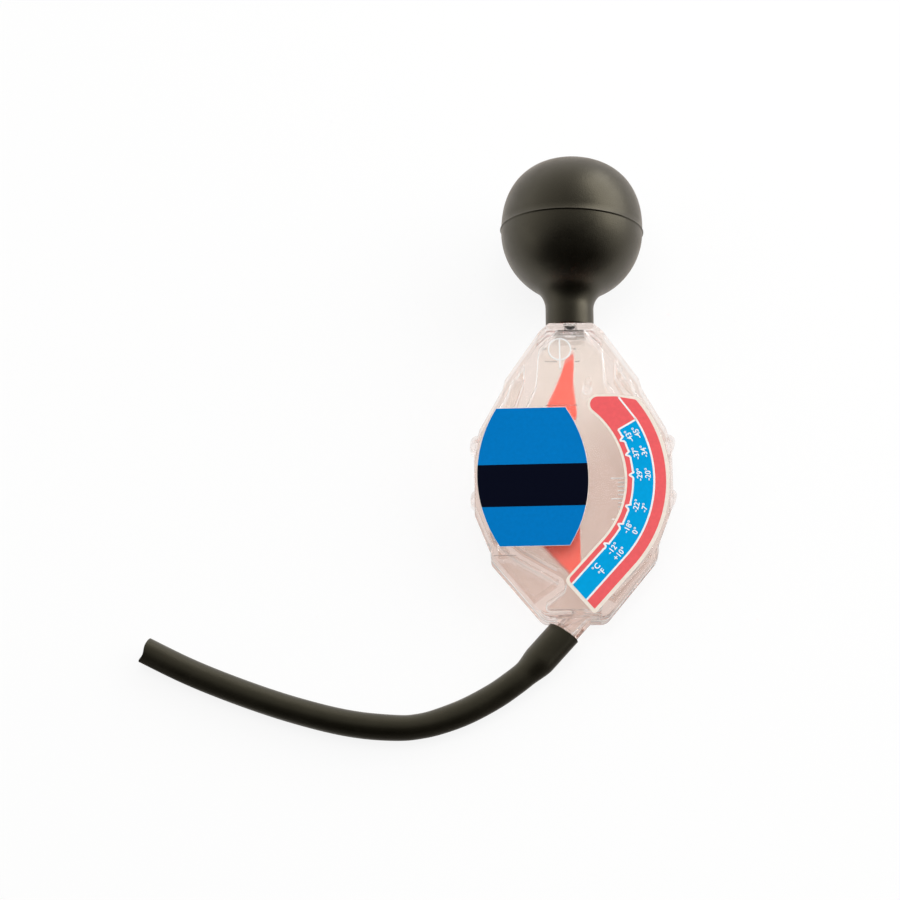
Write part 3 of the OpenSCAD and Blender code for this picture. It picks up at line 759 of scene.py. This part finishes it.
tail = arc(float_middle, float_r, float_from, float_to, float_steps)
pointer_path = [
    *tail,
    *bend(tail[-1], tip, right_bend, tip_r, bend_steps),
    *bend(tip, right_bend, tail[0], right_bend_r, bend_steps),
]
slug = pivot + pointer_rest @ slug_place
pointer = sheet("pointer_plate", [pivot + pointer_rest @ p for p in pointer_path], plate_half)
carve(pointer, post("hub", *pivot, hub_r, -hub_half, hub_half), "UNION")
carve(pointer, post("pin_hole", *pivot, pin_hole_r, -half, half))
carve(pointer, post("slug_hole", *slug, slug_hole_r, -half, half, slug_sides))
marker = solid("marker_plate", [[(*p, w) for p in marker_path] for w in (marker_low, marker_high)])
for piece, body, node in ((pointer, "pointer", "pointer"), (marker, "housing", "level_marker")):
    piece.data.materials.clear()
    piece.data.materials.append(red)
    piece.data.transform(lie)
    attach(piece, body)
    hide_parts(node)


# The labels.
# Two printed films on the flat front: a plain blue panel with a dark band, and the curved scale in red and
# blue. The scale carries plain numbers in two rows, Celsius inside and Fahrenheit outside.
film_low = half
film_top = half + 0.08
layer = 0.03
ink, into, out, where = effect("printed_ink", ["Ink"])
mottle = add(ink, "ShaderNodeVectorMath", operation="SCALE")
link(ink, into["Ink"], mottle.inputs[0])
link(ink, clouds(ink, where, scale=800, detail=3, low=0.94, high=1.02), mottle.inputs["Scale"])
link(ink, mottle.outputs[0], out["Colour"])
link(ink, clouds(ink, where, scale=260, detail=3, low=0.3, high=0.42), out["Roughness"])
link(ink, noise(ink, where, scale=1500, detail=2), out["Height"])
ink_colours = {
    "film_cream": (0.9, 0.81, 0.715),
    "ink_white": (0.93, 0.93, 0.92),
    "ink_blue": (0.0, 0.184, 0.535),
    "ink_navy": (0.002, 0.003, 0.010),
    "ink_red": (0.885, 0.128, 0.138),
    "ink_cyan": (0.001, 0.365, 0.75),
}
inks = {
    name: material(name, ink, {"Ink": colour}, bump=0.06, depth=0.0001, Specular_IOR_Level=0.02)
    for name, colour in ink_colours.items()
}


def fatten(path, d, sharpest=0.7):
    moved = []
    for i, p in enumerate(path):
        e1 = (p - path[i - 1]).normalized() if i else (path[1] - p).normalized()
        e2 = (path[i + 1] - p).normalized() if i < len(path) - 1 else e1
        n = Vector((e1.y + e2.y, -e1.x - e2.x)).normalized()
        moved.append(p + n * d / max(n.dot(Vector((e1.y, -e1.x))), sharpest))
    return moved


class Print:
    """A label being built: a film slab and thin layers of ink in it, in one mesh."""

    figure_share = 0.7
    stroke_swell = 0.022
    merge_within = 0.0005

    def __init__(self, name):
        self.name = name
        self.mesh = bmesh.new()
        self.used = []

    def slot(self, colour):
        if colour not in self.used:
            self.used.append(colour)
        return self.used.index(colour)

    def slab(self, rings, colour):
        for face in prism(self.mesh, rings):
            face.material_index = self.slot(colour)

    def film(self, path, colour):
        self.slab([[(p.x, p.y, w) for p in path] for w in (film_low, film_top)], colour)

    def panel(self, path, colour, level):
        levels = (film_low + layer, film_top + level * layer)
        self.slab([[(p.x, p.y, w) for p in path] for w in levels], colour)

    def line(self, path, wide, colour, level):
        low = film_low + layer
        top = film_top + level * layer
        rails = zip(fatten(path, wide / 2), fatten(path, -wide / 2))
        self.slab([[(*a, low), (*b, low), (*b, top), (*a, top)] for a, b in rails], colour)

    def figure(self, body, tall, where, turn, colour, level):
        curve = bpy.data.curves.new("figure", "FONT")
        curve.body = body
        curve.size = tall / self.figure_share
        curve.align_x = "CENTER"
        curve.align_y = "CENTER"
        curve.offset = self.stroke_swell * tall
        curve.extrude = (film_top - film_low + (level - 1) * layer) / 2
        curve.resolution_u = 3
        text = bpy.data.objects.new("figure", curve)
        bpy.context.scene.collection.objects.link(text)
        graph = bpy.context.evaluated_depsgraph_get()
        flat = bpy.data.meshes.new_from_object(text.evaluated_get(graph))
        middle = film_top + level * layer - curve.extrude
        flat.transform(Matrix.Translation((*where, middle)) @ Matrix.Rotation(turn, 4, "Z"))
        known = len(self.mesh.faces)
        self.mesh.from_mesh(flat)
        self.mesh.faces.ensure_lookup_table()
        for face in self.mesh.faces[known:]:
            face.material_index = self.slot(colour)
        bpy.data.objects.remove(text)

    def done(self, node):
        bmesh.ops.remove_doubles(self.mesh, verts=self.mesh.verts, dist=self.merge_within)
        bmesh.ops.triangulate(self.mesh, faces=[f for f in self.mesh.faces if len(f.verts) > 4])
        obj = finished(self.name, self.mesh)
        obj.data.transform(lie)
        for colour in self.used:
            obj.data.materials.append(inks[colour])
        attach(obj, "housing")
        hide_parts(node)


main_middle = Vector((-14.4, 0.9))
main_tall = 25.1
main_wide = 19.6
main_end = 12.25
main_edge = 0.15
main_lean = Matrix.Rotation(math.radians(0.8), 2)
band_low = -10.75
band_high = 4.45


def main_patch(d, low, high, n=16):
    bow = main_wide - main_end
    bow_r = (main_tall**2 + bow**2) / (2 * bow)
    right = []
    for i in range(n + 1):
        v = low + (high - low) * i / n
        right.append(Vector((main_wide - bow_r + math.sqrt(bow_r**2 - v**2) - d, v)))
    ring = right + [Vector((-p.x, p.y)) for p in right[::-1]]
    return [main_middle + main_lean @ p for p in ring]


blue_label = Print("blue_label")
blue_label.film(main_patch(0, -main_tall, main_tall), "film_cream")
blue_label.panel(main_patch(main_edge, main_edge - main_tall, main_tall - main_edge), "ink_blue", 1)
blue_label.panel(main_patch(main_edge, band_low, band_high), "ink_navy", 2)
blue_label.done("main_label")

scale_in = 31.8
scale_out = 47.55
scale_turn = -41.0
scale_top = 30.7
scale_run = 22.6
run_lean = 1.1
end_lean = 0.147
scale_round = 3.7
shoulder_drop = 1.25
shoulder_r = 1.4
shoulder_lead = 4
knee_r = 41.75
no_border = (0, 0, 0)
border = (0.85, 1.3, 1.3)
blue_top = 30.5
blue_in = 34.68
blue_out = 42.1
line_wide = 0.65
line_top = (42.3, 44.3)
long_steps = 40
short_steps = 6
notch_turns = [24.1, 14.6, 1.9, -17.4, -29.6]
notch_before = 2.4
notch_after = 3.2
last_notch_after = 3.6
notch = [(1.9, 34.85), (1.5, 34.9), (0.25, 33.55), (-0.2, 33.5), (-1.25, 34.5), (-2.4, 34.8)]
last_notch = [(0.5, 34.8), (0.9, 34.85), (1.7, 33.6), (2.0, 33.6), (2.3, 34.6), (2.9, 34.85)]
figures = [
    (24.5, 0, -43, -45), (14.1, 0, -37, -34), (2.0, 0, -29, -20), (-15.6, 0, -22, -7), (-28.4, 0, -18, 0),
    (scale_turn, 1.3, -12, 10),
]
figure_tall = 1.9
celsius_r = 37.05
fahrenheit_r = 40.0
unit_past = 10.3
units = [("°C", 37.1), ("°F", 39.7)]


def on_scale(r, turn, past=0.0):
    away = math.radians(scale_turn - 90 - run_lean)
    at = math.radians(turn)
    return pivot + Vector((
        r * math.cos(at) + past * math.cos(away),
        r * math.sin(at) + past * math.sin(away),
    ))


def run_at(r):
    return scale_run + (r - blue_out) * end_lean


def lane(r, top, low, n):
    return [on_scale(r, top + (low - top) * i / n) for i in range(n + 1)]


def scale_patch(margins, inner_foot_r, outer_foot_r):
    inner, outer, end = margins
    r1 = scale_in + inner
    r2 = scale_out - outer
    level = scale_top - inner
    round_r = scale_round - inner
    round_turn = math.degrees(math.asin((level - round_r) / (r1 + round_r)))
    shoulder_turn = math.degrees(math.asin((level - shoulder_drop) / r2))
    shoulder = on_scale(r2, shoulder_turn)
    knee = pivot + Vector((math.sqrt(knee_r**2 - level**2), level))
    foot_in = on_scale(r1, scale_turn, run_at(r1) - end)
    foot_out = on_scale(r2, scale_turn, run_at(r2) - end)
    right = lane(r2, scale_turn, shoulder_turn - shoulder_lead, long_steps)
    left = lane(r1, round_turn, scale_turn, long_steps)
    return [
        *right,
        *bend(right[-1], shoulder, knee, shoulder_r, 6),
        knee,
        *arc(on_scale(r1 + round_r, round_turn), round_r, 90, 180 + round_turn, 12),
        *left[1:],
        *bend(left[-1], foot_in, foot_out, inner_foot_r, 6),
        *bend(foot_in, foot_out, right[0], outer_foot_r, 4),
    ]


scale = Print("scale_label_print")
scale.film(scale_patch(no_border, inner_foot_r=2.1, outer_foot_r=1.0), "film_cream")
scale.panel(scale_patch(border, inner_foot_r=1.5, outer_foot_r=0.15), "ink_red", 1)
inner_edge = []
start = blue_top
for turn in notch_turns:
    inner_edge += lane(blue_in, start, turn + notch_before, short_steps)
    inner_edge += [on_scale(r, turn + step) for step, r in notch]
    start = turn - notch_after
inner_edge += lane(blue_in, start, scale_turn, short_steps)
inner_edge += [on_scale(r, scale_turn, past) for past, r in last_notch]
inner_edge += [on_scale(blue_in, scale_turn, p) for p in (last_notch_after, run_at(blue_in) - border[2])]
blue_edge = lane(blue_out, blue_top, scale_turn, long_steps)
blue_edge += [on_scale(blue_out, scale_turn, run_at(blue_out) - border[2])]
outer_edge = [on_scale(*line_top), *blue_edge]
scale.panel(inner_edge + blue_edge[::-1], "ink_cyan", 2)
scale.line(inner_edge, line_wide, "ink_white", 3)
scale.line(outer_edge, line_wide, "ink_white", 3)
scale.line([on_scale(blue_in, blue_top), on_scale(blue_out, blue_top)], line_wide, "ink_white", 3)
for turn, past, celsius, fahrenheit in figures:
    facing = math.radians(90 + turn)
    sign = "+" if fahrenheit > 0 else ""
    for body, r in ((f"{celsius}°", celsius_r), (f"{sign}{fahrenheit}°", fahrenheit_r)):
        scale.figure(body, figure_tall, on_scale(r, turn, past), facing, "ink_white", 4)
for body, r in units:
    facing = math.radians(90 + scale_turn)
    scale.figure(body, figure_tall, on_scale(r, scale_turn, unit_past), facing, "ink_white", 4)
scale.done("scale_label")


# The bulb.
# A hollow ball of satin olive-black rubber with a mould line round its middle. Its neck is pushed over the
# spigot down to the flat top of the housing, a little askew.
bulb_r = 25.5
bulb_level = 94.4
crown_tall = 26.6
crown_power = 2.35
bulb_wall = 2.7
cavity_r = bulb_r - bulb_wall
neck_r = 8.6
neck_fillet = 8.8
neck_fit = 0.05
neck_end = top_level + neck_fit
bore_r = spigot_r + neck_fit
lip_r = 0.5
flash_tall = 0.4
flash_wide = 0.9
settled = 0.988
askew_turn = math.radians(2.37)
askew_from = neck_end + 3.0
askew_long = 15.65
bulb_sides = 96
crown_steps = 32
ball_step = 1
cavity_step = 3
bulb_crease = math.radians(38)
rise = math.sqrt((bulb_r + neck_fillet) ** 2 - (neck_r + neck_fillet) ** 2)
throat = math.degrees(math.atan2(rise, neck_r + neck_fillet))
flash_turn = math.degrees(flash_wide / 2 / bulb_r)


def ease(x):
    x = min(max(x, 0), 1)
    return x * x * (3 - 2 * x)


def skin(mesh, rows):
    for low, high in zip(rows, rows[1:]):
        for k in range(len(low)):
            j = (k + 1) % len(low)
            corners = dict.fromkeys((low[k], low[j], high[j], high[k]))
            mesh.faces.new(list(corners)).smooth = True


def crown_arc(r, tall, first):
    turns = [math.radians(first + (90 - first) * i / crown_steps) for i in range(crown_steps)]
    power = 2 / crown_power
    side = [Vector((r * math.cos(t) ** power, bulb_level + tall * math.sin(t) ** power)) for t in turns]
    return [*side, Vector((0, bulb_level + tall))]


def askew(u, v, w):
    turn = askew_turn * ease((v - askew_from) / askew_long)
    above = v - askew_from
    return Vector((
        u * math.cos(turn) + above * math.sin(turn),
        askew_from + above * math.cos(turn) - u * math.sin(turn),
        w,
    ))


outside = [
    *arc((neck_r - lip_r, neck_end + lip_r), lip_r, -90, 0, 4),
    *arc((neck_r + neck_fillet, bulb_level - rise), neck_fillet, 180, 180 - throat, 16),
    *arc((0, bulb_level), bulb_r, ball_step - throat, -flash_turn, 30),
    Vector((bulb_r + flash_tall, bulb_level)),
    *crown_arc(bulb_r, crown_tall, flash_turn),
]
inside = [
    *crown_arc(cavity_r, crown_tall - bulb_wall, 0)[::-1],
    *arc((0, bulb_level), cavity_r, -cavity_step, -math.degrees(math.acos(bore_r / cavity_r)), 24),
    Vector((bore_r, neck_end)),
]
ball = bmesh.new()
turns = [2 * math.pi * k / bulb_sides for k in range(bulb_sides)]
rows = []
for p in inside + outside:
    if p.x > 0:
        ring = [askew(p.x * math.cos(t), p.y, p.x * settled * math.sin(t)) for t in turns]
        rows.append([ball.verts.new(place) for place in ring])
    else:
        rows.append([ball.verts.new(askew(0, p.y, 0))] * bulb_sides)
skin(ball, rows)
bulb = finished("rubber_bulb", ball)
bulb.data.transform(lie)
bulb.data.set_sharp_from_angle(angle=bulb_crease)

# Rubber is a dark compound with a faint bloom in soft clouds, and a fine texture from its mould.
rubber, into, out, where = effect("rubber", ["Dark", "Bloom"])
bloom = clouds(rubber, where, scale=90, detail=4)
link(rubber, blend(rubber, bloom, into["Dark"], into["Bloom"]), out["Colour"])
link(rubber, clouds(rubber, where, scale=160, detail=4, low=0.33, high=0.42), out["Roughness"])
link(rubber, noise(rubber, where, scale=2600, detail=2), out["Height"])
bulb_rubber = material(
    "bulb_rubber", rubber, {"Dark": (0.001, 0.0009, 0.0006), "Bloom": (0.003, 0.0027, 0.0018)},
    bump=0.25, depth=0.0002, Specular_IOR_Level=0.75, Specular_Tint=(1, 0.9, 0.66, 1),
    Sheen_Weight=0.12, Sheen_Roughness=0.4, Sheen_Tint=(1, 0.6, 0.25, 1),
)
bulb.data.materials.append(bulb_rubber)
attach(bulb, "bulb")
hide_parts("bulb")
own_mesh(bulb)


# The pick-up hose, in metres.
# A soft black rubber tube, pushed over the housing's nipple, where it is stretched to a cuff. It lies on the
# floor in a wide bow, a little pinched where the bow turns. Its mouth is cut aslant, its far end has a nick.
hose_r = 0.0046
hose_bore_r = 0.0031
cuff_r = 0.0057
fit = 0.00005
cuff_bore_r = nipple_r / 1000 + fit
cuff_long = 0.0122
cuff_fade = 0.0085
pinch_at = 0.062
pinch_long = 0.009
pinch = 0.05
nick = 0.0009
nick_turn = math.radians(125)
nick_wide = math.radians(30)
end_long = 0.004
end_wide = 0.0004
mouth_slant = 0.0009
mouth_fade = 0.010
hose_sides = 40
hose_steps = 8
hose_crease = math.radians(50)
mouth = lie @ hose_mouth
rest_z = hose_r + fit
hose_route = [
    (0, 0, 1), (-0.0046, -0.004985, 0.821), (-0.0092, -0.00997, 0.643), (-0.0132, -0.0138, 0.5),
    (-0.0177, -0.0173, 0.36), (-0.0245, -0.0219, 0.17), (-0.0341, -0.027, 0.04), (-0.0436, -0.0306, 0),
    (-0.0506, -0.0323, 0), (-0.0576, -0.0328, 0), (-0.07, -0.0318, 0), (-0.0824, -0.0293, 0),
    (-0.0986, -0.0245, 0), (-0.1154, -0.0183, 0), (-0.131, -0.0116, 0), (-0.146, -0.0039, 0),
]
stations = [
    Vector((mouth.x + x, mouth.y + y, rest_z + (mouth.z - rest_z) * share)) for x, y, share in hose_route
]


def smooth_run(points, steps):
    line = []
    for i in range(len(points) - 1):
        a, b = points[max(i - 1, 0)], points[i]
        c, d = points[i + 1], points[min(i + 2, len(points) - 1)]
        for k in range(steps):
            t = k / steps
            bent = (2 * a - 5 * b + 4 * c - d) * t**2 + (3 * b - a - 3 * c + d) * t**3
            line.append((2 * b + (c - a) * t + bent) / 2)
    return [*line, points[-1]]


def tube_wall(mesh, line, plain_r, stretched_r, opening):
    rows = []
    far = 0.0
    for i, point in enumerate(line):
        far += (point - line[max(i - 1, 0)]).length
        along = (line[min(i + 1, len(line) - 1)] - line[max(i - 1, 0)]).normalized()
        side = along.cross(Vector((0, 0, 1))).normalized()
        over = side.cross(along)
        stretch = 1 - ease((far - cuff_long) / cuff_fade)
        open_end = ease(1 - (hose_long - far) / end_long)
        slant = mouth_slant * ease(1 - far / mouth_fade)
        radius = plain_r + (stretched_r - plain_r) * stretch + opening * open_end
        narrow = 1 - pinch * math.exp(-(((far - pinch_at) / pinch_long) ** 2))
        row = []
        for k in range(hose_sides):
            turn = 2 * math.pi * k / hose_sides
            dent = nick * open_end * math.exp(-(((turn - nick_turn) / nick_wide) ** 2))
            lip = along * (slant * math.cos(turn) - dent)
            out = side * math.cos(turn) * narrow + over * math.sin(turn)
            row.append(mesh.verts.new(point + lip + radius * out))
        rows.append(row)
    return rows


hose_line = smooth_run(stations, hose_steps)
hose_long = sum((b - a).length for a, b in zip(hose_line, hose_line[1:]))
tube = bmesh.new()
outer_rows = tube_wall(tube, hose_line, hose_r, cuff_r, 0.0)
inner_rows = tube_wall(tube, hose_line, hose_bore_r, cuff_bore_r, end_wide)
skin(tube, [*outer_rows, *inner_rows[::-1], outer_rows[0]])
hose = finished("hose_tube", tube)
hose.data.set_sharp_from_angle(angle=hose_crease)
hose_rubber = material(
    "hose_rubber", rubber, {"Dark": (0.0035, 0.003, 0.0015), "Bloom": (0.006, 0.0052, 0.003)},
    bump=0.2, depth=0.0002, Specular_IOR_Level=0.7, Specular_Tint=(1, 0.91, 0.65, 1),
    Sheen_Weight=0.1, Sheen_Roughness=0.4, Sheen_Tint=(1, 0.7, 0.4, 1),
)
hose.data.materials.append(hose_rubber)
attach(hose, "housing")
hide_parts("hose")


# The floor and the light.
# A plain white sweep in an even studio, darker toward the photographer. The photograph is cut out on white,
# so the floor is nearly white to the eye and through the clear plastic, with a soft trace of shadow.
floor_size = 3.0
floor_glow = 0.88
# In reflections the floor carries painted shade: dark toward the front, outside a round patch.
mirror_front = 0.03
pool_middle = Vector((-0.072, -0.02, 0))
pool_in = 0.090
pool_out = 0.108
front_from = -0.03
front_to = -0.07
horizon_light = 1.4
zenith_light = 0.35
dark_share = 0.01
dark_elevation = math.radians(18)
dark_inside = math.radians(43)
dark_outside = math.radians(75)


def seen_rays(tree, *kinds):
    rays = add(tree, "ShaderNodeLightPath").outputs
    seen = rays[kinds[0]]
    for kind in kinds[1:]:
        seen = maths(tree, "MAXIMUM", seen, rays[kind])
    return seen


sweep_sheet = bmesh.new()
bmesh.ops.create_grid(sweep_sheet, x_segments=1, y_segments=1, size=floor_size)
floor = finished("floor", sweep_sheet)
paper = bpy.data.materials.new("floor_white")
paper.use_nodes = True
tree = paper.node_tree
principled = tree.nodes["Principled BSDF"]
principled.inputs["Base Color"].default_value = (0.9, 0.9, 0.89, 1)
principled.inputs["Roughness"].default_value = 0.9
spot = add(tree, "ShaderNodeTexCoord").outputs["Object"]
place = add(tree, "ShaderNodeSeparateXYZ")
link(tree, spot, place.inputs[0])
ahead = ramp(tree, place.outputs["Y"], front_from, front_to, 0, 1, "SMOOTHSTEP")
away = add(tree, "ShaderNodeVectorMath", operation="DISTANCE")
link(tree, spot, away.inputs[0])
away.inputs[1].default_value = pool_middle
past_pool = ramp(tree, away.outputs["Value"], pool_in, pool_out, 0, 1 - mirror_front, "SMOOTHSTEP")
rays = add(tree, "ShaderNodeLightPath").outputs
mirrored = maths(tree, "SUBTRACT", rays["Is Glossy Ray"], rays["Is Transmission Ray"], clamp=True)
# Painted shade in reflections: the floor's glow is cut toward the front, outside the round patch.
painted_mirror_shade = maths(tree, "MULTIPLY", mirrored, maths(tree, "MULTIPLY", ahead, past_pool))
glow = add(tree, "ShaderNodeEmission", Color=(1, 1, 1, 1))
link(tree, maths(tree, "SUBTRACT", 1.0, painted_mirror_shade), glow.inputs["Strength"])
seen = seen_rays(tree, "Is Camera Ray", "Is Transmission Ray", "Is Glossy Ray")
paper_look = mixed(tree, maths(tree, "MULTIPLY", seen, floor_glow), principled.outputs[0], glow.outputs[0])
link(tree, paper_look, tree.nodes["Material Output"].inputs["Surface"])
floor.data.materials.append(paper)

world = bpy.data.worlds.new("studio")
bpy.context.scene.world = world
world.use_nodes = True
tree = world.node_tree
studio = tree.nodes["Background"]
studio.inputs["Color"].default_value = (1, 1, 1, 1)
way = add(tree, "ShaderNodeTexCoord").outputs["Generated"]
compass = add(tree, "ShaderNodeSeparateXYZ")
link(tree, way, compass.inputs[0])
height = ramp(tree, compass.outputs["Z"], 0, 1, horizon_light, zenith_light)
toward = add(tree, "ShaderNodeVectorMath", operation="DOT_PRODUCT")
link(tree, way, toward.inputs[0])
toward.inputs[1].default_value = (0, -math.cos(dark_elevation), math.sin(dark_elevation))
outside_dark = math.cos(dark_outside)
inside_dark = math.cos(dark_inside)
fall = ramp(tree, toward.outputs["Value"], outside_dark, inside_dark, 1, dark_share, "SMOOTHSTEP")
link(tree, maths(tree, "MULTIPLY", height, fall), studio.inputs["Strength"])
white = add(tree, "ShaderNodeBackground", Color=(1, 1, 1, 1), Strength=1.0)
seen = seen_rays(tree, "Is Camera Ray", "Is Transmission Ray")
sky_look = mixed(tree, seen, studio.outputs[0], white.outputs[0])
link(tree, sky_look, tree.nodes["World Output"].inputs["Surface"])


def soft_box(name, place, wide, deep, power):
    aim = Vector((0, 0, 0.02))
    light = bpy.data.lights.new(name, "AREA")
    light.shape = "RECTANGLE"
    light.size = wide
    light.size_y = deep
    light.energy = power
    lamp = bpy.data.objects.new(name, light)
    lamp.location = place
    lamp.rotation_euler = (aim - Vector(place)).to_track_quat("-Z", "Y").to_euler()
    bpy.context.scene.collection.objects.link(lamp)
    return lamp


soft_box("key_light", (0.94, 0.66, 0.61), wide=1.6, deep=1.12, power=14)
top_light = soft_box("top_light", (-0.1, 0.2, 1.4), wide=1.0, deep=0.7, power=7.5)
top_light.visible_glossy = False

# Clear walls pass light many times over, so it is followed further than usual.
paths = bpy.context.scene.cycles
paths.max_bounces = 32
paths.glossy_bounces = 16
paths.transmission_bounces = 32
paths.transparent_max_bounces = 32
bpy.context.scene.view_settings.view_transform = "Standard"


# The camera.
# The photograph was taken from high above the foot, looking down on the printed face.
# Its scale comes from the bulb, about 50 mm across.
camera_elevation = math.radians(68)
camera_azimuth = math.radians(-0.5)
camera_distance = 1.0
sensor_mm = 36
photo_px = 900
metres_per_px = 0.00035
dial_px = (574.0, 478.6)
look = Vector((
    -math.sin(camera_azimuth) * math.cos(camera_elevation),
    math.cos(camera_azimuth) * math.cos(camera_elevation),
    -math.sin(camera_elevation),
))
across = look.cross(Vector((0, 0, 1))).normalized()
upward = across.cross(look)
aside = (dial_px[0] - photo_px / 2) * metres_per_px
below = (dial_px[1] - photo_px / 2) * metres_per_px
eye = lie @ Vector((0, 0, half)) - look * camera_distance - across * aside + upward * below
camera = bpy.data.objects.new("camera", bpy.data.cameras.new("camera"))
camera.data.sensor_fit = "HORIZONTAL"
camera.data.sensor_width = sensor_mm
camera.data.lens = sensor_mm * camera_distance / (photo_px * metres_per_px)
camera.matrix_world = Matrix((across, upward, -look)).transposed().to_4x4()
camera.matrix_world.translation = eye
bpy.context.scene.collection.objects.link(camera)
bpy.context.scene.camera = camera
